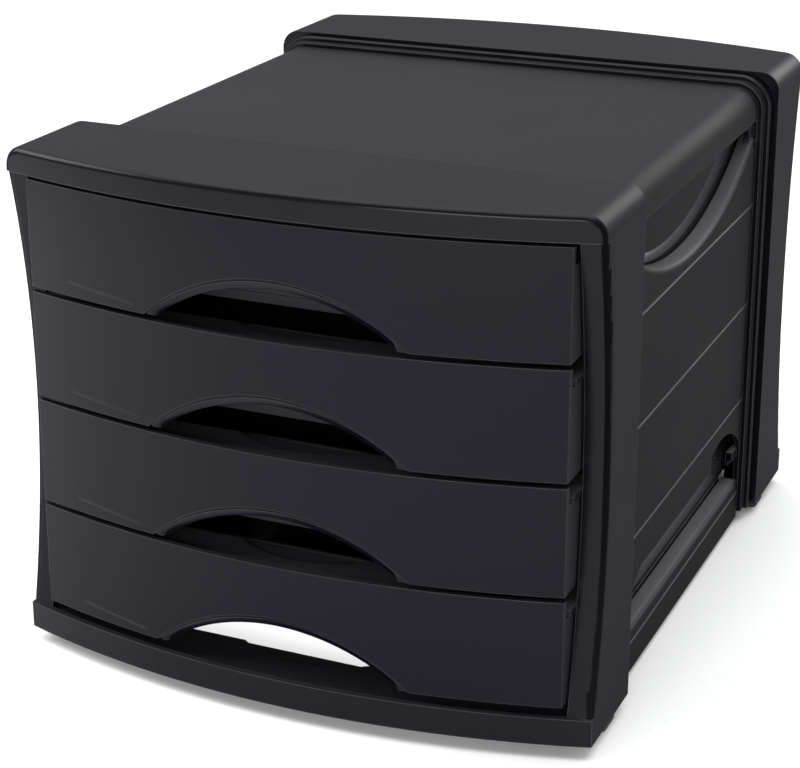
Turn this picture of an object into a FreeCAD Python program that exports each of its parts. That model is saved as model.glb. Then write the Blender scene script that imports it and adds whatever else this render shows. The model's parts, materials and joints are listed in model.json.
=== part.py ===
import FreeCAD, Part
import math
import os

V = FreeCAD.Vector
os.makedirs("parts", exist_ok=True)

# Letter tray stack with four drawers.  Millimetres, +Z up, drawers pull out along -Y.
# Origin: centre of the footprint, on the table the rubber feet stand on.

# ---- walls and fits ----
wall = 3.0                    # outer walls of the end frames, and the drawer faces
skin = 2.5                    # cover, side panels, back panel, bulkheads and rails
thin = 1.5                    # inner collar of the end frames
seam = 0.3                    # gap shown between neighbouring mouldings
slide = 0.5                   # running clearance of the drawers
beyond = 1.0                  # how far a cutting shape runs past the face it cuts

# ---- whole unit, seen from above ----
width = 285.0                 # across the two flared end frames
bow_apex = 188.0              # centre line to the middle of the bowed front (and rear) edge
bow_radius = 466.0            # plan radius of that bow
frame_depth = 74.0            # middle of the bowed edge back to the inner edge of an end frame

# ---- heights ----
foot_drop = 7.0               # table to the underside of the end frames
strip_height = 13.0           # base strip under the lowest drawer
strip_gap = 5.0               # base strip up to the lowest drawer front
drawer_count = 4
drawer_pitch = 52.9
front_gap = 2.4               # between one drawer front and the next
head_gap = 1.8                # over the top drawer front
top_bar = 12.0                # bar of the end frames over the drawers

# ---- end frames ----
upright = 13.0                # edge of a drawer front out to the side of the frame
front_room = 1.5              # drawer front to the frame beside it
frame_corner = 10.0           # radius of the frames' top corners
bar_rim = 3.0                 # rounding along the bar's outer edge
upright_rim = 4.0             # rounding along the scooped outer edge of the uprights
side_hollow = 12.0            # how far the frames' upright edges curve in at mid height
bulkhead_set = 48.0           # middle of the bowed edge back to the bulkhead
ledge_step = 2.0              # base ledge below the top of the base strip
ledge_depth = 32.0            # middle of the bowed edge back to the ledge's inner edge
ledge_half = 118.0            # half width of the open floor behind the ledge
relief_half = 31.5            # half-moon finger relief in the ledge and the rails
relief_bulge = 11.0
relief_sink = 1.2

# ---- mid body between the end frames ----
inset = 7.5                   # side panels stand in from the frames by this much
drop = 6.0                    # top cover lies below the frames' top by this much
body_corner = 12.0            # radius along the long top edges
lap = 6.0                     # cover and panels reach this far into the frames
panel_bottom = 3.5            # table to the lowest edge of the side panels
cover_skirt = 16.5            # depth of the cover, top surface to the joint line
stiffener_pitch = 40.0        # ribs under the cover
stiffener_depth = 2.0
stiffener_thick = 1.6
groove_below = 6.3            # lowest line on the side panel, below the lowest drawer front
groove_rise = 54.1            # from one line to the next
groove_half = 0.7             # half width, and depth, of those lines
tongue_thick = 1.7            # upstand that holds the cover's skirt
tongue_depth = 16.0
tongue_rise = 4.0

# ---- bands round the front of the rear frame ----
band_reach = 13.0             # first band starts this far ahead of the frame
low_band_width = 5.5
low_band_rise = 2.3
high_band_width = 4.0
high_band_rise = 4.5
neck_rise = 1.2

# ---- upper grip: a crescent under the cover ----
smile_radius = 207.0          # its lower edge
smile_depth = 55.0            # top of the cover down to the lowest point of that edge
smile_shift = 6.0             # that point lies this far ahead of the middle
smile_margin = 20.0           # front frame to the tip of the crescent
flap_radius = 185.0           # its upper edge
flap_depth = 36.0
flap_shift = 55.0

# ---- lower grip: a slot with a round rear pocket ----
slot_rise = 0.5               # lowest drawer front up to the lower edge of the slot
slot_height = 27.5
slot_margin = 24.0            # front frame to the slot
slot_slope = 15.0             # sloping front corner
slot_slope_drop = 7.0
pocket_radius = 58.0
pocket_back = 54.0            # rear frame to the centre of the pocket's round edge
pocket_sink = 19.5            # that centre below the slot
pocket_front = 71.0           # rear frame to the pocket's front edge

# ---- lips of both grips ----
lip_round = 3.5               # rounding from the panel's face into the lip
lip_thick = 2.0
grip_gap = 1.7                # lip to the side of the tray
clip_length = 9.0             # moulded clips at the rear of the grips
clip_height = 5.0

# ---- drawers ----
front_behind_strip = 0.8      # drawer fronts stand back from the base strip by this much
return_drop = 8.5             # side returns and tray rim below the top of the front
tray_inset = 5.0              # tray narrower than its front, each side
tray_set = 39.0               # middle of the bowed edge back to the tray
rear_room = 32.0              # rear end of the tray to the middle of the rear bow
tray_lift = 0.5               # tray underside above the underside of its front
tray_wall = 2.0
tray_corner = 5.0
rim_out = 1.5                 # rim flange round the tray
rim_thick = 2.0
rib_count = 15                # low ribs on the tray floor
rib_pitch = 15.6
rib_width = 3.2
rib_rise = 0.8
rib_end = 14.0                # end wall of the tray to the ends of the ribs
bead_height = 4.6             # bead low on the tray's front wall
drawer_travel = 245.0
stop_gap = 4.5                # stop lug to the bulkhead at the end of the travel
lug_grip = 3.0                # lugs reach this far behind the bulkhead
lug_length = 10.0
lug_height = 4.0
runner_thick = 2.0
runner_grip = 4.0             # how far a runner reaches under the tray

# ---- finger opening in each drawer front ----
finger_half = 57.0
finger_rise = 20.0
border = 6.0                  # sunk border round the opening
border_rise = 5.0
border_sink = 1.0
line_width = 1.2              # thin line round the border
line_sink = 1.9
lip_width = 2.2               # edge of the opening, turned inwards
lip_depth = 7.0
label_length = 39.0           # thin engraved line low on the left
label_centre = 88.0
label_rise = 5.3
label_sink = 0.4

# ---- feet ----
foot_width = 14.0
foot_length = 17.0
foot_corner = 3.0
foot_side = 9.5               # side of the frame to the middle of the foot
foot_end = 56.0               # middle of the bowed edge back to the middle of the foot

half = width / 2
body_half = half - inset
front_half = half - upright
opening_half = front_half + front_room
tray_half = front_half - tray_inset
rim_half = tray_half + rim_out
gate_half = rim_half + slide
lip_inner = tray_half + grip_gap

strip_top = foot_drop + strip_height
ledge_top = strip_top - ledge_step
lowest_front = strip_top + strip_gap
front_height = drawer_pitch - front_gap
opening_top = lowest_front + (drawer_count - 1) * drawer_pitch + front_height + head_gap
height = opening_top + top_bar
body_top = height - drop
cover_bottom = body_top - cover_skirt
tray_top = front_height - return_drop

frame_inner = bow_apex - frame_depth
front_apex = -(bow_apex - front_behind_strip)
front_bow = bow_radius - front_behind_strip
bulkhead_front = -(bow_apex - bulkhead_set)
bulkhead_back = bulkhead_front + skin
ledge_back = -(bow_apex - ledge_depth)
tray_front = -(bow_apex - tray_set)
tray_rear = bow_apex - rear_room
band_start = frame_inner - band_reach
panel_end = band_start - seam


def block(x0, x1, y0, y1, z0, z1):
    return Part.makeBox(x1 - x0, y1 - y0, z1 - z0, V(x0, y0, z0))


def both_sides(shape):
    """The shape together with its mirror image across the centre plane."""
    return shape.fuse(shape.mirror(V(0, 0, 0), V(1, 0, 0)))


def turned_round(shape):
    """Front becomes rear."""
    return shape.mirror(V(0, 0, 0), V(0, 1, 0))


def bow_depth(x, radius):
    return radius - math.sqrt(radius * radius - x * x)


def bowed_plan(half_x, apex, radius, back, z0, z1):
    """Solid between a bowed front edge and a straight back edge."""
    corner = apex + bow_depth(half_x, radius)
    arc = Part.Arc(V(-half_x, corner, z0), V(0, apex, z0), V(half_x, corner, z0)).toShape()
    rest = Part.makePolygon([V(half_x, corner, z0), V(half_x, back, z0),
                             V(-half_x, back, z0), V(-half_x, corner, z0)])
    return Part.Face(Part.Wire([arc] + rest.Edges)).extrude(V(0, 0, z1 - z0))


def bowed_sheet(half_x, apex, radius, thick, z0, z1):
    """Upright sheet of even thickness that follows the bow."""
    deep = apex + bow_depth(half_x, radius) + 20
    outer = bowed_plan(half_x, apex, radius, deep, z0, z1)
    inner = bowed_plan(half_x + beyond, apex + thick, radius - thick, deep + beyond,
                       z0 - beyond, z1 + beyond)
    return outer.cut(inner)


def hoop(half_x, z0, z1, r, y0, y1):
    """Block running along Y with rounded top corners."""
    k = r * (1 - math.sqrt(0.5))
    left = Part.Arc(V(-half_x, y0, z1 - r), V(-half_x + k, y0, z1 - k),
                    V(-half_x + r, y0, z1)).toShape()
    right = Part.Arc(V(half_x - r, y0, z1), V(half_x - k, y0, z1 - k),
                     V(half_x, y0, z1 - r)).toShape()
    edges = [
        Part.makeLine(V(-half_x, y0, z0), V(-half_x, y0, z1 - r)),
        left,
        Part.makeLine(V(-half_x + r, y0, z1), V(half_x - r, y0, z1)),
        right,
        Part.makeLine(V(half_x, y0, z1 - r), V(half_x, y0, z0)),
        Part.makeLine(V(half_x, y0, z0), V(-half_x, y0, z0)),
    ]
    return Part.Face(Part.Wire(edges)).extrude(V(0, y1 - y0, 0))


def lying_cylinder(r, y, z, x0, x1):
    return Part.makeCylinder(r, x1 - x0, V(x0, y, z), V(1, 0, 0))


def upright_hollow(extra):
    """What is scooped from the front of the uprights; extra thickens it for the wall behind."""
    rise = (opening_top - strip_top) / 2
    r = (rise * rise + side_hollow * side_hollow) / (2 * side_hollow)
    corner = -bow_apex + bow_depth(half, bow_radius)
    x = half + beyond
    scoop = lying_cylinder(r + extra, corner + side_hollow - r, strip_top + rise, -x, x)
    return scoop.common(block(-x, x, -2 * bow_apex, 0, strip_top - extra, opening_top + extra))


def half_moon(back, z_top):
    """Shallow finger relief at the back edge of a ledge."""
    r = (relief_half * relief_half + relief_bulge * relief_bulge) / (2 * relief_bulge)
    return Part.makeCylinder(r, relief_sink + beyond, V(0, back - relief_bulge + r, z_top - relief_sink))


def frame_shell():
    """Outer form of an end frame, scooped at the sides and rounded along its outer edge."""
    body = hoop(half, foot_drop, height, frame_corner, -2 * bow_apex, -frame_inner)
    body = body.common(bowed_plan(half, -bow_apex, bow_radius, -frame_inner, 0, height + beyond))
    body = body.cut(upright_hollow(0))
    ahead = [e for e in body.Edges if e.BoundBox.YMax < bulkhead_front]
    scooped = [e for e in ahead if e.BoundBox.XLength < seam and e.BoundBox.ZLength > strip_top + top_bar]
    body = body.makeFillet(upright_rim, scooped)
    ahead = [e for e in body.Edges if e.BoundBox.YMax < bulkhead_front]
    top = [e for e in ahead if e.BoundBox.ZMin > height - frame_corner - seam]
    return body.makeFillet(bar_rim, top)


def end_frame():
    """Flared hollow frame with bowed outer edge; front one as built, rear one turned round."""
    far = 2 * bow_apex
    inner_end = -frame_inner - wall
    behind = hoop(body_half - skin, 0, body_top - skin, body_corner - skin, bulkhead_back, -frame_inner)
    hollow = hoop(half - wall, foot_drop + wall, height - wall, frame_corner - wall, -far, inner_end)
    hollow = hollow.common(bowed_plan(half - wall, -bow_apex + wall, bow_radius - wall,
                                      inner_end, 0, height))
    bay_walls = block(-opening_half - skin, opening_half + skin, -far, bulkhead_front,
                      0, opening_top + skin)
    bulkhead = block(-half, half, bulkhead_front, bulkhead_back, 0, height)
    hollow = hollow.cut([bay_walls, behind, bulkhead, upright_hollow(wall)])
    socket = hoop(body_half, foot_drop + wall, body_top, body_corner, inner_end, -frame_inner)
    body = frame_shell().cut([hollow, socket.cut(behind)])

    bay = block(-opening_half, opening_half, -far, bulkhead_front, strip_top, opening_top)
    ledge = bowed_plan(opening_half, -bow_apex + wall, bow_radius - wall,
                       bulkhead_front, ledge_top, strip_top + beyond)
    gate = block(-gate_half, gate_half, bulkhead_front - beyond, bulkhead_back + beyond,
                 ledge_top, opening_top)
    lining = skin + thin
    throat = hoop(body_half - lining, foot_drop + wall, body_top - lining, body_corner - lining,
                  bulkhead_back, -frame_inner)
    open_floor = block(-ledge_half, ledge_half, ledge_back, -frame_inner, 0, ledge_top + beyond)
    under = bowed_plan(ledge_half, -bow_apex + wall, bow_radius - wall, ledge_back,
                       0, ledge_top - skin)
    relief = half_moon(ledge_back, ledge_top)
    return body.cut([bay, ledge, gate, throat, open_floor, under, relief])


def band(rise, y0, y1):
    """Raised hoop round the mid body, open at the bottom."""
    outer = hoop(body_half + rise, foot_drop, body_top + rise, body_corner + rise, y0, y1)
    return outer.cut(hoop(body_half, 0, body_top, body_corner, y0 - beyond, y1 + beyond))


def rear_frame():
    low_end = band_start + low_band_width
    high_end = low_end + high_band_width
    bands = [
        band(low_band_rise, band_start, low_end),
        band(high_band_rise, low_end - seam, high_end),
        band(neck_rise, high_end - seam, frame_inner + beyond),
    ]
    return turned_round(end_frame()).fuse(bands)


def top_cover():
    reach = frame_inner + lap
    under = body_top - skin
    outer = hoop(body_half, cover_bottom, body_top, body_corner, -reach, reach)
    inner = hoop(body_half - skin, cover_bottom - beyond, under, body_corner - skin,
                 -reach - beyond, reach + beyond)
    cover = outer.cut(inner)
    ribs = []
    for k in (-2, -1, 0, 1, 2):
        x = k * stiffener_pitch
        ribs.append(block(x - stiffener_thick / 2, x + stiffener_thick / 2,
                          -frame_inner + beyond, frame_inner - beyond, under - stiffener_depth, under))
    return cover.fuse(ribs).removeSplitter()


def smile_sweep():
    """Everything above the lower edge of the crescent, up to the cover's joint line."""
    x0 = lip_inner - beyond
    x1 = body_half + beyond
    low_z = body_top - smile_depth
    frame = block(x0, x1, -frame_inner + smile_margin, panel_end, low_z - beyond, cover_bottom + beyond)
    return lying_cylinder(smile_radius, -smile_shift, low_z + smile_radius, x0, x1).common(frame)


def smile_flap(x0, x1):
    """Round-edged flap that hangs down into the crescent from above."""
    flap_z = body_top - flap_depth + flap_radius
    flap = lying_cylinder(flap_radius, -flap_shift, flap_z, x0, x1)
    return flap.common(block(x0, x1, -frame_inner + smile_margin - beyond, panel_end,
                             body_top - smile_depth, cover_bottom - seam))


def lower_slot():
    """Slot with a sloping front corner and a tall round pocket at the rear."""
    x0 = lip_inner - beyond
    deep = body_half + beyond - x0
    low = lowest_front + slot_rise
    high = low + slot_height
    y0 = -frame_inner + slot_margin
    y1 = frame_inner - pocket_front
    corners = [V(x0, y0, low), V(x0, y1 + beyond, low), V(x0, y1 + beyond, high),
               V(x0, y0 + slot_slope, high), V(x0, y0, high - slot_slope_drop), V(x0, y0, low)]
    straight = Part.Face(Part.makePolygon(corners)).extrude(V(deep, 0, 0))
    pocket = lying_cylinder(pocket_radius, frame_inner - pocket_back, low - pocket_sink, x0, x0 + deep)
    pocket = pocket.common(block(x0, x0 + deep, y1, panel_end, low, body_top))
    return straight.fuse(pocket).removeSplitter()


def upper_lip():
    """Shelf turned inwards along the lower edge of the crescent."""
    low_z = body_top - smile_depth
    smile_z = low_z + smile_radius
    ring = lying_cylinder(smile_radius + lip_thick, -smile_shift, smile_z, lip_inner, body_half)
    ring = ring.cut(lying_cylinder(smile_radius, -smile_shift, smile_z, lip_inner - beyond,
                                   body_half + beyond))
    keep = block(lip_inner, body_half, -frame_inner + smile_margin - lip_thick, panel_end,
                 low_z - 2 * lip_thick, cover_bottom - tongue_rise)
    return ring.common(keep)


def lower_lip():
    low = lowest_front + slot_rise
    return block(lip_inner, body_half, -frame_inner + slot_margin, panel_end, low - lip_thick, low)


def lip_corners():
    """What the roundings take from the outer corners of both lips."""
    low = lowest_front + slot_rise
    x0 = body_half - lip_round
    y0 = -frame_inner + slot_margin
    straight = block(x0, body_half + beyond, y0, panel_end, low - lip_round, low + beyond)
    straight = straight.cut(Part.makeCylinder(lip_round, panel_end - y0, V(x0, y0, low - lip_round),
                                              V(0, 1, 0)))
    smile_z = body_top - smile_depth + smile_radius
    curved = lying_cylinder(smile_radius + lip_round, -smile_shift, smile_z, x0, body_half + beyond)
    curved = curved.cut(lying_cylinder(smile_radius - beyond, -smile_shift, smile_z,
                                       x0 - beyond, body_half + 2 * beyond))
    curved = curved.cut(Part.makeTorus(smile_radius + lip_round, lip_round,
                                       V(x0, -smile_shift, smile_z), V(1, 0, 0)))
    region = block(x0, body_half + beyond, -frame_inner + smile_margin, panel_end,
                   body_top - smile_depth - 2 * lip_round, cover_bottom - seam)
    return [straight, curved.common(region)]


def clips():
    """Moulded clips that hold the panel in the rear frame, at the back of each grip."""
    y0 = panel_end - clip_length
    y1 = panel_end + lap / 2
    x0 = gate_half + lug_grip + slide
    x1 = body_half - thin
    upper_z = cover_bottom - tongue_depth / 2
    lower_z = lowest_front + slot_rise + slot_height / 2
    hooks = []
    for z in (upper_z, lower_z):
        hooks.append(block(x0, x1, y0, y1, z, z + clip_height))
        hooks.append(block(x0, x0 + thin, y0, y1, z - clip_height / 2, z + beyond))
    return hooks


def runners():
    """One ledge under each tray, reaching forward through the front frame."""
    shelves = []
    inner = tray_half - runner_grip
    for i in range(drawer_count):
        top = lowest_front + i * drawer_pitch + tray_lift - seam
        shelves.append(block(inner, body_half - skin / 2, -frame_inner + seam, panel_end,
                             top - runner_thick, top))
        shelves.append(block(inner, gate_half - slide, bulkhead_back + thin, -frame_inner + beyond,
                             top - runner_thick, top))
    return shelves


def gutter():
    """Trough between the lower lip and the tray beside it, and the floor under that trough."""
    y0 = -frame_inner + slot_margin
    low = lowest_front + slot_rise
    trough = block(tray_half + seam, lip_inner, y0, panel_end, low - lip_thick, low + beyond)
    floor = block(tray_half - runner_grip, body_half - skin / 2, y0 - lip_thick, panel_end,
                  low - 2 * lip_thick, low - lip_thick)
    return trough, floor


def side_panel():
    """Right-hand panel; the left one is its mirror image."""
    reach = frame_inner + lap
    panel = block(body_half - skin, body_half, -reach, reach, panel_bottom, cover_bottom - seam)
    panel = panel.fuse(upper_lip()).fuse(lower_lip())
    inner_face = body_half - skin
    tongue = block(inner_face - tongue_thick, inner_face, -frame_inner + seam, panel_end,
                   cover_bottom - tongue_depth, cover_bottom + tongue_rise)
    panel = panel.fuse(tongue).cut([smile_sweep(), lower_slot()] + lip_corners())
    backing = tongue.common(smile_flap(inner_face - tongue_thick, inner_face))
    panel = panel.fuse([smile_flap(inner_face, body_half), backing])
    for y0, y1 in ((-reach - beyond, -frame_inner + seam), (panel_end, reach + beyond)):
        panel = panel.cut(block(0, half, y0, y1, 0, foot_drop + wall + seam))
    for k in range(4):
        z = lowest_front - groove_below + k * groove_rise
        edge = [V(body_half + seam / 3, 0, z - groove_half), V(body_half - groove_half, 0, z),
                V(body_half + seam / 3, 0, z + groove_half)]
        line = Part.Face(Part.makePolygon(edge + edge[:1])).extrude(V(0, panel_end + frame_inner, 0))
        line.translate(V(0, -frame_inner, 0))
        panel = panel.cut(line)
    trough, floor = gutter()
    return panel.fuse([floor] + runners() + clips()).cut(trough).removeSplitter()


def back_panel():
    """Bowed sheet that closes the rear frame, with returns that seat on its bulkhead."""
    z0 = strip_top + slide
    z1 = opening_top - slide
    sheet = bowed_sheet(front_half, front_apex, front_bow, skin, z0, z1)
    corner = front_apex + bow_depth(front_half, front_bow) + beyond
    side = block(front_half - skin, front_half, corner, bulkhead_front, z0, z1)
    return turned_round(sheet.fuse(both_sides(side)))


def cross_rail(i):
    """Rail across the front frame, over drawer i and under the next one up."""
    z0 = lowest_front + i * drawer_pitch + tray_top + beyond
    z1 = z0 + skin
    apex = front_apex + wall + 2 * seam
    rail = bowed_plan(opening_half, apex, front_bow - wall - 2 * seam, bulkhead_front, z0, z1)
    rail = rail.cut(block(-ledge_half, ledge_half, ledge_back, 0, z0 - beyond, z1 + beyond))
    edge = block(-ledge_half, ledge_half, ledge_back - thin, ledge_back, z0 - slide, z1)
    return rail.fuse(edge).cut(half_moon(ledge_back, z1))


def arch(half_x, rise, z0):
    """Cylinder along Y whose top crosses the level z0 at +/- half_x."""
    r = (half_x * half_x + rise * rise) / (2 * rise)
    return Part.makeCylinder(r, bow_apex, V(0, -2 * bow_apex + frame_inner, z0 + rise - r), V(0, 1, 0))


def sunk_skin(half_x, depth, z0, z1):
    """The outermost layer of a drawer's face, as deep as what is sunk into it."""
    return bowed_sheet(half_x, front_apex - beyond, front_bow + beyond, depth + beyond, z0, z1)


def drawer_front(i):
    z0 = lowest_front + i * drawer_pitch
    z1 = z0 + front_height
    side_y = front_apex + bow_depth(front_half, front_bow) + beyond
    face = bowed_sheet(front_half, front_apex, front_bow, wall, z0, z1)
    side = block(front_half - skin, front_half, side_y, tray_front, z0, z0 + tray_top)
    floor = bowed_plan(front_half, front_apex + beyond, front_bow - beyond, tray_front, z0, z0 + skin)
    border_half = finger_half + border
    border_top = finger_rise + border_rise
    open_x = border_half + wall
    floor = floor.cut(block(-open_x, open_x, front_apex - beyond, 0, 0, height))
    front = face.fuse([both_sides(side), floor])

    hole = arch(finger_half, finger_rise, z0)
    sunk = arch(border_half, border_top, z0)
    lip = arch(finger_half + lip_width, finger_rise + lip_width, z0).cut(hole)
    lip = lip.common(bowed_sheet(border_half, front_apex + beyond, front_bow - beyond,
                                 lip_depth, z0, z1))
    outline = sunk.cut(arch(border_half - line_width, border_top - line_width, z0))
    sunk = sunk.common(sunk_skin(open_x, border_sink, z0 - beyond, z1))
    outline = outline.common(sunk_skin(open_x, line_sink, z0 - beyond, z1))
    front = front.cut([sunk, outline]).fuse(lip).cut(hole)

    label = block(-label_length / 2, label_length / 2, front_apex - beyond, tray_front, -seam, seam)
    label.rotate(V(0, 0, 0), V(0, 1, 0), 5)
    label.translate(V(-label_centre, 0, z0 + label_rise))
    label = label.common(sunk_skin(front_half, label_sink, z0, z1))
    return front.cut(label).removeSplitter()


def rounded_tank(half_x, y0, y1, z0, z1, r):
    tank = block(-half_x, half_x, y0, y1, z0, z1)
    upright_edges = [e for e in tank.Edges if e.BoundBox.ZLength > (z1 - z0) / 2]
    return tank.makeFillet(r, upright_edges)


def drawer_tray(i):
    z0 = lowest_front + i * drawer_pitch + tray_lift
    z1 = lowest_front + i * drawer_pitch + tray_top
    outer = rounded_tank(tray_half, tray_front, tray_rear, z0, z1, tray_corner)
    rim = rounded_tank(rim_half, tray_front + tray_corner, tray_rear + rim_out, z1 - rim_thick, z1,
                       tray_corner + rim_out)
    inner = rounded_tank(tray_half - tray_wall, tray_front + tray_wall, tray_rear - tray_wall,
                         z0 + tray_wall, z1 + beyond, tray_corner - tray_wall)
    tray = outer.fuse(rim).cut(inner)
    floor_top = z0 + tray_wall
    ribs = []
    for k in range(rib_count):
        x = (k - (rib_count - 1) / 2) * rib_pitch
        ribs.append(block(x - rib_width / 2, x + rib_width / 2, tray_front + rib_end,
                          tray_rear - rib_end, floor_top - seam, floor_top + rib_rise))
    lug_y = bulkhead_back + drawer_travel + stop_gap
    lug = block(tray_half - beyond, gate_half + lug_grip, lug_y, lug_y + lug_length,
                z1 - lug_height, z1)
    bead_half = finger_half + border
    bead = block(-bead_half, bead_half, tray_front - beyond, tray_front + beyond, z0, z0 + bead_height)
    return tray.fuse(ribs + [both_sides(lug), bead]).removeSplitter()


def foot_pad(x, y):
    pad = block(x - foot_width / 2, x + foot_width / 2, y - foot_length / 2, y + foot_length / 2,
                0, foot_drop)
    rounded = [e for e in pad.Edges if e.BoundBox.ZLength > beyond]
    return pad.makeFillet(foot_corner, rounded)


def save(name, shape):
    shape.exportStep("parts/" + name + ".step")
    print(name, len(shape.Solids), round(shape.Volume / 1000, 1), "cm3", shape.isValid())


save("front_frame", end_frame())
save("rear_frame", rear_frame())
save("top_cover", top_cover())
right = side_panel()
save("right_side_panel", right)
save("left_side_panel", right.mirror(V(0, 0, 0), V(1, 0, 0)))
save("back_panel", back_panel())
for i, name in enumerate(["lower_cross_rail", "middle_cross_rail", "upper_cross_rail"]):
    save(name, cross_rail(i))
foot_x = half - foot_side
foot_y = bow_apex - foot_end
save("front_left_foot", foot_pad(-foot_x, -foot_y))
save("front_right_foot", foot_pad(foot_x, -foot_y))
save("rear_left_foot", foot_pad(-foot_x, foot_y))
save("rear_right_foot", foot_pad(foot_x, foot_y))
for i in range(drawer_count):
    number = str(drawer_count - i)
    save("drawer_" + number + "_front", drawer_front(i))
    save("drawer_" + number + "_tray", drawer_tray(i))
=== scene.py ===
# %% [markdown]
# # A desk drawer unit in black plastic
#
# The real thing is a stack of four paper drawers in one housing.  Everything you touch is moulded
# plastic: dark, satin, a little lighter wherever the light grazes it.  The solids already have the
# true form, so this lesson is about three things: softening the knife-sharp edges that no mould
# can make, building a convincing moulded plastic, and lighting black on white without losing it.

# %% Load the frame
import json
import math
import bpy
import bmesh
from mathutils import Matrix, Vector


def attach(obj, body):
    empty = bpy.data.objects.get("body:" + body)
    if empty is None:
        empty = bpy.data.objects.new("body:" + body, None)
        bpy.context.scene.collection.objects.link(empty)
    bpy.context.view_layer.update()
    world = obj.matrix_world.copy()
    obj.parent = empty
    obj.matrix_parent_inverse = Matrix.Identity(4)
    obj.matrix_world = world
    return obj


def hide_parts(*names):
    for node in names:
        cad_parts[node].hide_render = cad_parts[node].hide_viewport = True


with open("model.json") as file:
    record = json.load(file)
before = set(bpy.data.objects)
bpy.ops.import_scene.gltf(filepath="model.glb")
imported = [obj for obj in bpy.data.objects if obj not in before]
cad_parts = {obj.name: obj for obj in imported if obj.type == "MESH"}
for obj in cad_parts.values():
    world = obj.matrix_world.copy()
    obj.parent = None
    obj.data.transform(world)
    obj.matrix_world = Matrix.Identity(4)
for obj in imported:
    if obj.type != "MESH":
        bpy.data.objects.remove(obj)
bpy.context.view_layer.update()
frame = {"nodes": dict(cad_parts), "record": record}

print("nodes:", len(frame["nodes"]))

# %% [markdown]
# ## Which piece belongs to what
#
# The housing stays still; each drawer is one body of two mouldings, its bowed front and its tray.
# Keeping the names in small tuples lets every later cell ask what a moulding is instead of
# repeating a list.  Bodies are looked up in the record of the part itself.

# %% Name the mouldings
MM = 0.001                    # one millimetre in the scene's metres
END_FRAMES = ("front_frame", "rear_frame")
SIDES = ("left_side_panel", "right_side_panel")
INNER = ("back_panel", "upper_cross_rail", "middle_cross_rail", "lower_cross_rail")
FEET = tuple(n for n in frame["nodes"] if n.endswith("_foot"))
TRAYS = tuple(n for n in frame["nodes"] if n.endswith("_tray"))
FRONTS = tuple(sorted(n for n in frame["nodes"] if n.startswith("drawer") and n.endswith("_front")))
body_of = {n: b for b, members in frame["record"]["behaviour"]["bodies"].items() for n in members}
print("feet:", FEET)
print("drawer fronts, from the top down:", FRONTS)

# %% [markdown]
# ## The border round each finger opening
#
# On every drawer front a narrow border is sunk round the arched opening, and it slopes inwards so
# that a fingertip slides under the edge.  The solids have this border flat.  It could be cut again
# as a new surface, but moving the corners of its inner rim is enough: they all lie on one arc, just
# behind the bowed face, so they are easy to find.  Pushing them back tilts the whole border and
# leaves everything else alone.

# %% Slope the sunk border
FRONT_APEX = -187.2           # middle of the bowed drawer fronts
FRONT_BOW = 465.2             # radius of that bow, seen from above
OPENING_HALF = 57.0           # half the width of an opening along its lower edge
OPENING_RISE = 20.0           # top of its arch above that edge
LOWEST_FRONT = 25.0           # table to the lower edge of the lowest front
DRAWER_PITCH = 52.9           # from one front to the next
BORDER_DEPTHS = (0.7, 1.3)    # the border is sunk this far behind the bowed face
RIM_REACH = 0.1               # a corner this close to the arc belongs to the rim
RIM_PUSH = 2.2                # how far the rim goes back


def slope_the_border(work, front):
    """Push the inner rim of the sunk border back, so the border slopes into the opening."""
    step = len(FRONTS) - 1 - FRONTS.index(front)
    radius = (OPENING_HALF ** 2 + OPENING_RISE ** 2) / (2 * OPENING_RISE)
    centre = LOWEST_FRONT + step * DRAWER_PITCH + OPENING_RISE - radius
    moved = 0
    for corner in work.verts:
        x, y, z = (value / MM for value in corner.co)
        depth = y - (FRONT_APEX + FRONT_BOW - math.sqrt(FRONT_BOW ** 2 - x * x))
        on_the_arc = abs(math.hypot(x, z - centre) - radius) < RIM_REACH
        if on_the_arc and BORDER_DEPTHS[0] < depth < BORDER_DEPTHS[1]:
            corner.co.y += RIM_PUSH * MM
            moved += 1
    print("sloped border on", front, "corners moved:", moved)


# %% [markdown]
# ## Softened edges
#
# A mould always leaves a small radius, and that radius is what catches a thin line of light along
# every edge of a black object.  We copy a solid's surface, weld the vertices that the file format
# split, and melt the flat triangles together.  A bevel limited by angle would be the quick way to
# round what is left, but a swept rounding is drawn with slivers as thin as thread, which also turn
# sharply, and bevelling those leaves little ticks.  So each edge that turns sharply between two
# real faces gets a bevel weight, and the bevel goes by weight.  Weighted normals then keep the
# large faces flat.

# %% Find the edges that a mould would round
SHARP_TURN = math.radians(32.0)   # a bend below this is part of a curve
SLIVER = 0.20                     # a face narrower than this is only a seam of the mesh


def narrow(face):
    """Whether a face is a sliver, by its width across its longest edge."""
    longest = max(edge.calc_length() for edge in face.edges)
    return 2 * face.calc_area() / longest < SLIVER * MM


def weigh_the_sharp_edges(work):
    """Give a bevel weight to each edge that turns sharply between two real faces, and count them."""
    weight = work.edges.layers.float.new("bevel_weight_edge")
    sharp = 0
    for edge in work.edges:
        if len(edge.link_faces) != 2 or any(narrow(face) for face in edge.link_faces):
            continue
        if edge.calc_face_angle() > SHARP_TURN:
            edge[weight] = 1.0
            sharp += 1
    return sharp


# %% Copy a moulding's surface
WELD = 2e-6                       # metres: corners closer than this are one corner
FLAT_TURN = math.radians(0.1)     # faces that bend less than this are one face


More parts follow.
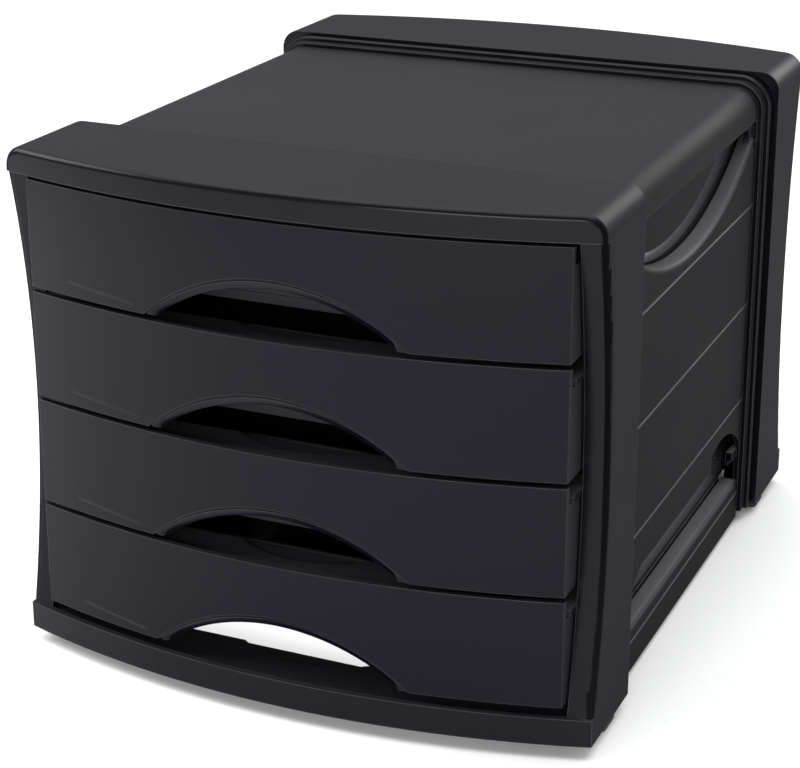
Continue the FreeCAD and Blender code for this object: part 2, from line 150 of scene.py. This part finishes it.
def clean_surface(node, name):
    """A copy of a node's surface, ready for its rounded edges."""
    mesh = frame["nodes"][node].data.copy()
    mesh.name = name
    mesh.materials.clear()
    work = bmesh.new()
    work.from_mesh(mesh)
    bmesh.ops.remove_doubles(work, verts=work.verts, dist=WELD)
    bmesh.ops.dissolve_limit(work, angle_limit=FLAT_TURN, verts=work.verts, edges=work.edges)
    if node in FRONTS:
        slope_the_border(work, node)
    for face in work.faces:
        face.smooth = True
    print(name, "edges to round:", weigh_the_sharp_edges(work))
    work.to_mesh(mesh)
    work.free()
    if mesh.has_custom_normals:
        mesh.normals_split_custom_set([(0, 0, 0)] * len(mesh.loops))
    return mesh


# %% Round the edges of every moulding
HANDLED_RADIUS = 0.45             # mould radius on the drawers and the end frames
PLAIN_RADIUS = 0.35               # mould radius on everything else
ROUNDING_STEPS = 2


def softened(node, name, radius):
    """A copy of a CAD node with small rounded edges, riding on the node's own body."""
    piece = bpy.data.objects.new(name, clean_surface(node, name))
    bpy.context.scene.collection.objects.link(piece)
    bevel = piece.modifiers.new("mould radius", "BEVEL")
    bevel.width = radius * MM
    bevel.segments = ROUNDING_STEPS
    bevel.limit_method = "WEIGHT"
    bevel.use_clamp_overlap = True
    flat = piece.modifiers.new("flat faces", "WEIGHTED_NORMAL")
    flat.keep_sharp = False
    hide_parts(node)
    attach(piece, body_of[node])
    return piece


pieces = {}
for node in frame["nodes"]:
    often_handled = node in FRONTS or node in TRAYS or node in END_FRAMES
    radius = HANDLED_RADIUS if often_handled else PLAIN_RADIUS
    pieces[node] = softened(node, node + "_moulding", radius)
print("softened", len(pieces), "mouldings")

# %% [markdown]
# ## Shader maths in plain Python
#
# Node trees are easiest to read as sums.  `Wire` wraps one socket: adding, subtracting, multiplying
# and raising to a power each add the matching Math node.  Colours go through Mix nodes, because a
# Math node would turn them grey.  The method `node` adds any other kind of node: the settings come
# first, then values or links for the sockets.

# %% The socket wrapper
FACTOR, COLOUR_A, COLOUR_B = 0, 6, 7   # the inputs of a Mix node that mixes colours
MIXED_COLOUR = 2                       # and its output


class Wire:
    """One output socket of a material's tree, with arithmetic written as Python."""

    def __init__(self, tree, socket=None):
        self.tree = tree
        self.socket = socket

    def node(self, kind, settings=None, sockets=None, out=0):
        """Any node: its settings first, then a value or a wire for each socket."""
        made = self.tree.nodes.new(kind)
        for name, value in (settings or {}).items():
            setattr(made, name, value)
        for name, value in (sockets or {}).items():
            if isinstance(value, Wire):
                self.tree.links.new(value.socket, made.inputs[name])
            else:
                made.inputs[name].default_value = value
        return Wire(self.tree, made.outputs[out])

    def maths(self, operation, first, second):
        return self.node("ShaderNodeMath", {"operation": operation}, {0: first, 1: second})

    def __add__(self, other):
        return self.maths("ADD", self, other)

    def __sub__(self, other):
        return self.maths("SUBTRACT", self, other)

    def __rsub__(self, other):
        return self.maths("SUBTRACT", other, self)

    def __mul__(self, other):
        return self.maths("MULTIPLY", self, other)

    def __pow__(self, other):
        return self.maths("POWER", self, other)

    __radd__ = __add__
    __rmul__ = __mul__

    def clipped(self):
        """This value, held between 0 and 1."""
        return self.node("ShaderNodeClamp", None, {"Value": self})

    def ramp(self, start, slope):
        """0 up to the start, then rising by the slope until it is 1."""
        return ((self - start) * slope).clipped()

    def mixed(self, low, high):
        """A mix of two colours by this value."""
        return self.node("ShaderNodeMix", {"data_type": "RGBA"},
                         {FACTOR: self, COLOUR_A: low, COLOUR_B: high}, out=MIXED_COLOUR)

    def tint(self, dark, light):
        """A colour that runs from dark to light as this value goes from 0 to 1."""
        return self.mixed((*dark, 1), (*light, 1))

    def coat(self, under, colour):
        """This much of a plain colour laid over another wire's colour."""
        return self.mixed(under, (*colour, 1))

    def feeds(self, node, socket):
        """Plug this wire into a node that is already in the tree."""
        self.tree.links.new(self.socket, node.inputs[socket])


# %% Materials and noises
OBJECT_PLACE = 3              # the output of Texture Coordinate that sticks to the piece


def new_material(name):
    """A new material: itself, its shader and a blank wire to build from."""
    material = bpy.data.materials.new(name)
    material.use_nodes = True
    tree = material.node_tree
    return material, tree.nodes["Principled BSDF"], Wire(tree)


def noise(place, scale, detail=2.0, roughness=0.5):
    """Noise at a place; the scale counts its grains in a metre."""
    return place.node("ShaderNodeTexNoise", None,
                      {"Vector": place, "Scale": scale, "Detail": detail, "Roughness": roughness})


def bumps(height, strength, depth):
    """A normal that is disturbed by a height, with the depth in millimetres."""
    return height.node("ShaderNodeBump", None,
                       {"Height": height, "Strength": strength, "Distance": depth * MM})


print("shader helpers ready")

# %% [markdown]
# ## Worn edges and painted edge highlights
#
# Hands and paper rub the edges of a moulding lighter, and the same lighter colour also paints the
# thin highlight that a small radius catches along each edge.  Pointiness is the usual mask for
# edges, but on meshes with few vertices it spreads over whole faces.  A Bevel node gives the normal
# that a rounder edge would have.  Where that differs from the true normal, there is an edge.

# %% Directions and edges
NORMAL = 1                    # the output of Geometry that holds the surface's normal
DOT = 1                       # the output of Vector Math that holds a number
X, Y, Z = 0, 1, 2             # across the unit, along the drawers' way, and up
EDGE_REACH = 0.7              # how far the wear and the painted edge highlight reach in from an edge


def part_of(facing, axis):
    """How far the surface looks along an axis, from -1 to 1."""
    return facing.node("ShaderNodeSeparateXYZ", None, {0: facing}, out=axis)


def edge_mask(facing):
    """0 on the faces, and more towards the edges."""
    rounded = facing.node("ShaderNodeBevel", {"samples": 6}, {"Radius": EDGE_REACH * MM})
    return 1.0 - facing.node("ShaderNodeVectorMath", {"operation": "DOT_PRODUCT"},
                             {0: rounded, 1: facing}, out=DOT)


# %% [markdown]
# ## A painted dark reflection on the roundings of the end frames
#
# The wide rounding between a frame's face and its flank mirrors what stands beside the viewer.
# Where that is dark, a dark line runs down each upright, but this studio is pale all round.  A dark
# card beside the camera would bring the line back, and would show in the flat faces too.  So this
# step cheats and paints the dark reflection in: it finds the rounding by its normal, which points
# halfway between along and across, and mixes in a second shader that hardly reflects.  Faces that
# look up are left out, because the top edges of the frames are pale.

# %% A dull shader that paints a dark reflection on the roundings
PAINTED_REFLECTION_BLACK = (0.0015, 0.0015, 0.0030, 1)
PAINTED_REFLECTION_ROUGHNESS = 0.5
PAINTED_REFLECTION_GLOSS = 0.02
FULL_SLANT = 4.0              # brings the slant to 1 where the surface looks halfway
UPWARD_LIMIT = 1.5            # the higher, the sooner a face that tips up is left out


def paint_dark_reflection_on_roundings(shader, facing):
    """Paint a dark reflection: mix a dull black into a shader where the surface turns from the face to
    the flank.
    """
    along = part_of(facing, Y)
    slant = along * along * (1.0 - along * along) * FULL_SLANT
    level = (1.0 - part_of(facing, Z) * UPWARD_LIMIT).clipped()
    rounding = slant.ramp(start=0.35, slope=5.0) * level
    dull = facing.node("ShaderNodeBsdfPrincipled", None,
                       {"Base Color": PAINTED_REFLECTION_BLACK, "Roughness": PAINTED_REFLECTION_ROUGHNESS,
                        "Specular IOR Level": PAINTED_REFLECTION_GLOSS})
    glossy = Wire(facing.tree, shader.outputs[0])
    both = facing.node("ShaderNodeMixShader", None, {0: rounding, 1: glossy, 2: dull})
    both.feeds(facing.tree.nodes["Material Output"], "Surface")


# %% [markdown]
# ## Moulded plastic
#
# Satin plastic is not one flat black.  A very fine spark-eroded grain comes from the mould, broad
# soft clouds show where the melt cooled unevenly, and a thin film of dust settles on whatever faces
# up.  That film also paints the faces that look up lighter, as light from above would, and the
# lighter colour along the edges is partly wear and partly painted highlight.  One recipe serves every
# plastic piece; the mould's polish, the dust and painted top light, and the wear and painted edge
# highlight differ.  The colour stays nearly black, and the changes in roughness do most of the work.
# Flanks and tops can be made rougher than the rest, which spreads the reflections of the bright
# panels over them.

# %% Sizes and strengths of the plastic's marks
GRAIN = 1 / (0.55 * MM)       # noise scales: grains in a metre
SPECKS = 420.0
HANDLING = 55.0
CLOUDS = 14.0

PALER, PALER_STILL = 1.7, 0.001          # the pale end of the plastic is this times its colour, plus this
CLOUD_ROUGHNESS, GRAIN_ROUGHNESS = 0.10, 0.06
FILM_ROUGHNESS, RUBBED_POLISH = 0.25, 0.10
CLOUD_HEIGHT = 0.02
NARROW, BROAD = 6.0, 3.0      # powers: only faces square to an axis, or also those near it
PLASTIC_IOR = 1.5

# Colours of dust that also paints the faces that look up lighter, and of wear that also paints edge
# highlights.
GREY_DUST_AND_TOP_LIGHT = (0.060, 0.061, 0.066)
RAIL_DUST_AND_TOP_LIGHT = (0.090, 0.091, 0.100)
PALE_DUST_AND_TOP_LIGHT = (0.130, 0.131, 0.142)
WEAR_AND_HIGHLIGHT_GREY = (0.050, 0.051, 0.057)


# %% A recipe for moulded plastic
def moulded_plastic(name, colour, rough, gloss, grain=0.05, dust_and_top_light_strength=0.25, dust_and_top_light_colour=GREY_DUST_AND_TOP_LIGHT, wear_and_edge_highlight=0.3,
                    flanks=0.0, tops=0.0, flank_wear_and_light=0.0, dark_reflection_on_roundings=False):
    """A satin plastic; flanks and tops add roughness to faces that look sideways and up."""
    material, shader, wire = new_material(name)
    place = wire.node("ShaderNodeTexCoord", out=OBJECT_PLACE)
    facing = wire.node("ShaderNodeNewGeometry", out=NORMAL)
    sideways = part_of(facing, X)
    upward = part_of(facing, Z)
    fine = noise(place, GRAIN, detail=2.0, roughness=0.6)
    clouds = noise(place, CLOUDS, detail=3.0, roughness=0.55)
    specks = noise(place, SPECKS, detail=3.0, roughness=0.7)
    handled = noise(place, HANDLING, detail=4.0)

    # Dust on faces that look up; it also paints them lighter, as light from above would.
    dust_and_top_light = upward.ramp(start=0.55, slope=2.2) * (0.5 + 0.5 * clouds) * (0.75 + 0.5 * specks) * dust_and_top_light_strength
    # Wear along the edges, which also paints their thin highlights; on flanks, rub marks that also paint
    # light on them.
    wear_and_painted_light = edge_mask(facing).ramp(start=0.01, slope=9.0) * (0.35 + handled) * wear_and_edge_highlight
    wear_and_painted_light = wear_and_painted_light + (sideways * sideways) ** NARROW * flank_wear_and_light

    paler = tuple(channel * PALER + PALER_STILL for channel in colour)
    plastic = (clouds * 0.5 + fine * 0.2).clipped().tint(colour, paler)
    with_dust_and_top_light = dust_and_top_light.clipped().coat(plastic, dust_and_top_light_colour)
    wear_and_painted_light.clipped().coat(with_dust_and_top_light, WEAR_AND_HIGHLIGHT_GREY).feeds(shader, "Base Color")

    polish = rough + (clouds - 0.5) * CLOUD_ROUGHNESS + (fine - 0.5) * GRAIN_ROUGHNESS
    polish = polish + dust_and_top_light * FILM_ROUGHNESS - wear_and_painted_light * RUBBED_POLISH
    polish = polish + (sideways * sideways) ** BROAD * flanks + (upward * upward) ** BROAD * tops
    polish.clipped().feeds(shader, "Roughness")

    bumps(fine * grain + clouds * CLOUD_HEIGHT, strength=0.35, depth=0.4).feeds(shader, "Normal")
    shader.inputs["IOR"].default_value = PLASTIC_IOR
    shader.inputs["Specular IOR Level"].default_value = gloss
    if dark_reflection_on_roundings:
        paint_dark_reflection_on_roundings(shader, facing)
    print(name, "made of", len(material.node_tree.nodes), "nodes")
    return material


# %% [markdown]
# ## Six finishes from one recipe
#
# The drawer fronts have the best polish, the frames are a little rougher and the cover is rougher
# still.  The side panels carry a stronger grain and the most dust and painted top light, on their
# ledges and lips.  The trays are smooth, and much lighter and glossier than the rest.  Their lighter
# colour paints in the light that falls on their walls in the dark grips, and makes them plainly grey
# when a drawer is out.  The drawer fronts carry rub marks on their flanks that also paint light on
# them.  The cross rails and the back have the dullest gloss and the most wear and painted edge
# highlight along their edges.

# %% The plastic finishes
finishes = {
    "frames": moulded_plastic("frame_satin_black", (0.0022, 0.0018, 0.0040), 0.22, gloss=0.14,
                              dust_and_top_light_strength=0.22, wear_and_edge_highlight=1.1, flanks=0.56, tops=0.35, dark_reflection_on_roundings=True),
    "sides": moulded_plastic("side_textured_black", (0.0016, 0.0014, 0.0030), 0.22, gloss=0.10,
                             grain=0.10, dust_and_top_light_strength=1.2, dust_and_top_light_colour=PALE_DUST_AND_TOP_LIGHT, wear_and_edge_highlight=1.2, flanks=0.55),
    "cover": moulded_plastic("cover_satin_black", (0.0034, 0.0034, 0.0048), 0.42, gloss=0.10,
                             dust_and_top_light_strength=0.28, flanks=0.30),
    "fronts": moulded_plastic("drawer_front_black", (0.0012, 0.0007, 0.0036), 0.18, gloss=0.14,
                              grain=0.02, wear_and_edge_highlight=1.1, flanks=0.5, flank_wear_and_light=0.4),
    # The trays' lighter colour paints in the light on their walls in the dark grips.
    "trays": moulded_plastic("tray_black", (0.0280, 0.0284, 0.0330), 0.20, gloss=0.6,
                             grain=0.004, dust_and_top_light_strength=0.02),
    "rails": moulded_plastic("rail_black", (0.0050, 0.0050, 0.0070), 0.34, gloss=0.06,
                             grain=0.01, dust_and_top_light_strength=0.5, dust_and_top_light_colour=RAIL_DUST_AND_TOP_LIGHT, wear_and_edge_highlight=1.5),
}
print("plastic finishes:", sorted(finishes))

# %% [markdown]
# ## Rubber feet
#
# The pads under the end frames are soft rubber: matt, with a coarse dull surface and grey rub
# marks.  Two noises are enough, one for the marks and one for the bumps.

# %% Rubber
RUBBER_BLACK = (0.012, 0.012, 0.012)
RUB_MARK_GREY = (0.05, 0.05, 0.05)
COARSE_SKIN = 900.0           # noise scales: grains in a metre
RUB_MARKS = 160.0
MARK_CONTRAST = 2.0           # power that leaves fewer and clearer marks
RUBBER_ROUGHNESS = 0.75
MARK_ROUGHNESS = 0.2          # and this much more on a mark


def soft_rubber(name):
    """A matt black rubber with grey rub marks."""
    material, shader, wire = new_material(name)
    place = wire.node("ShaderNodeTexCoord", out=OBJECT_PLACE)
    coarse = noise(place, COARSE_SKIN, detail=3.0)
    rubs = noise(place, RUB_MARKS, detail=4.0)
    (rubs ** MARK_CONTRAST).tint(RUBBER_BLACK, RUB_MARK_GREY).feeds(shader, "Base Color")
    (RUBBER_ROUGHNESS + rubs * MARK_ROUGHNESS).clipped().feeds(shader, "Roughness")
    bumps(coarse, strength=0.5, depth=0.3).feeds(shader, "Normal")
    return material


finishes["rubber"] = soft_rubber("foot_rubber")
print("rubber:", finishes["rubber"].name)

# %% [markdown]
# ## Paint the mouldings
#
# Each moulding is one shot of one material, so it takes one finish.  A table of who wears what is
# shorter than a chain of questions, and it shows at a glance that no moulding is left out.

# %% Give every moulding its finish
worn_by = {"frames": END_FRAMES, "sides": SIDES, "cover": ("top_cover",), "fronts": FRONTS,
           "trays": TRAYS, "rails": INNER, "rubber": FEET}
for finish, nodes in worn_by.items():
    for node in nodes:
        pieces[node].data.materials.append(finishes[finish])
    print(finish, "on", len(nodes), "mouldings")

# %% [markdown]
# ## Floor and surround
#
# A black object needs something bright to reflect, or it turns into a hole.  White paper underfoot
# is mirrored by the drawer fronts and the side, and a pale surround by the top.  The surround is
# much darker than the paper, so the top comes out a calm dark grey.

# %% White paper underfoot
PAPER_REACH = 6.0             # metres from the middle to each edge
PAPER_TOOTH = 300.0           # its fibres in a metre
PAPER_SHADES = (0.91, 0.91, 0.91), (0.93, 0.93, 0.93)
PAPER_ROUGHNESS = 0.9

paper_corners = [(x * PAPER_REACH, y * PAPER_REACH, 0) for x, y in ((-1, -1), (1, -1), (1, 1), (-1, 1))]
floor_mesh = bpy.data.meshes.new("pale_floor")
floor_mesh.from_pydata(paper_corners, [], [(0, 1, 2, 3)])
floor = bpy.data.objects.new("pale_floor", floor_mesh)
bpy.context.scene.collection.objects.link(floor)
paper, paper_shader, wire = new_material("pale_paper")
tooth = noise(wire.node("ShaderNodeTexCoord", out=OBJECT_PLACE), PAPER_TOOTH)
tooth.tint(*PAPER_SHADES).feeds(paper_shader, "Base Color")
paper_shader.inputs["Roughness"].default_value = PAPER_ROUGHNESS
floor.data.materials.append(paper)
print("floor:", floor.name, "with", paper.name)

# %% A pale surround
SURROUND_COLOUR = (0.96, 0.98, 1.0, 1)
SURROUND_STRENGTH = 0.42

world = bpy.data.worlds.new("pale_surround")
world.use_nodes = True
background = world.node_tree.nodes["Background"]
background.inputs["Color"].default_value = SURROUND_COLOUR
background.inputs["Strength"].default_value = SURROUND_STRENGTH
bpy.context.scene.world = world
bpy.context.scene.view_settings.view_transform = "Standard"
print("surround:", world.name)

# %% [markdown]
# ## Soft panels
#
# Small lamps would leave hard spots on a glossy black object, so all the light comes from soft
# rectangles.  The big one overhead whitens the paper.  One low on the left brightens the paper
# that the left ends of the fronts mirror, so the fronts fade from left to right.  One behind on the
# right gives the flanks and the cover's rounded edge their sheen.  One low in front lights the
# ledges and the finger openings.  The smallest lies under the unit, faces down, and lights the
# paper that shows through the lowest opening.

# %% Soft panels
def soft_panel(name, place, aim, size, power):
    """A rectangular lamp that looks from its place to its aim, in metres and watts."""
    lamp = bpy.data.lights.new(name, "AREA")
    lamp.shape = "RECTANGLE"
    lamp.size, lamp.size_y = size
    lamp.energy = power
    holder = bpy.data.objects.new(name, lamp)
    holder.location = place
    holder.rotation_euler = (Vector(aim) - Vector(place)).to_track_quat("-Z", "Y").to_euler()
    bpy.context.scene.collection.objects.link(holder)
    print("panel", name, "at", place)


soft_panel("overhead", (0.0, 0.2, 2.2), aim=(0, 0.2, 0), size=(3.0, 3.0), power=73)
soft_panel("left_low", (-0.80, -0.40, 0.60), aim=(-0.40, -0.45, 0), size=(0.5, 0.5), power=6.5)
soft_panel("rear_right", (1.0, 2.1, 1.05), aim=(0, 0, 0.2), size=(1.9, 1.2), power=15)
soft_panel("front_low", (0.25, -1.6, 0.48), aim=(0, -0.15, 0.12), size=(1.0, 0.5), power=15)
soft_panel("under_glow", (-0.02, -0.085, 0.018), aim=(-0.02, -0.085, 0), size=(0.2, 0.1), power=0.07)

# %% [markdown]
# ## Camera
#
# The unit is seen from its front right, from about a metre away and a little above.  The frame is
# moved by shifting the lens, not by tipping the camera further, which would make the uprights lean.

# %% Camera
FRAME_PX = 800                # the focal length is given in pixels of a frame this wide
SENSOR_WIDTH = 36.0
NEAREST = 0.05                # metres: nothing closer than this is drawn


def look(azimuth, elevation, roll, distance, target, focal_px, shift_y):
    """A camera placed by angles around a target, all in degrees and millimetres."""
    a, e, r = (math.radians(v) for v in (azimuth, elevation, roll))
    back = Vector((math.sin(a) * math.cos(e), -math.cos(a) * math.cos(e), math.sin(e)))
    right = Vector((math.cos(a), math.sin(a), 0))
    up = back.cross(right)
    turned = math.cos(r) * right + math.sin(r) * up
    risen = -math.sin(r) * right + math.cos(r) * up
    lens = bpy.data.cameras.new("viewer")
    lens.sensor_width = SENSOR_WIDTH
    lens.lens = focal_px / FRAME_PX * SENSOR_WIDTH
    lens.shift_y = shift_y
    lens.clip_start = NEAREST
    viewer = bpy.data.objects.new("viewer", lens)
    turn = Matrix((turned, risen, back)).transposed().to_4x4()
    viewer.matrix_world = Matrix.Translation((Vector(target) + back * distance) * MM) @ turn
    bpy.context.scene.collection.objects.link(viewer)
    return viewer


camera = look(azimuth=23.66, elevation=18.92, roll=-0.06, distance=1065.3,
              target=(-15.3, -12.3, 141.3), focal_px=2107.0, shift_y=-0.1)
bpy.context.scene.camera = camera
print("camera:", camera.name, "with a lens of", round(camera.data.lens, 1), "mm")
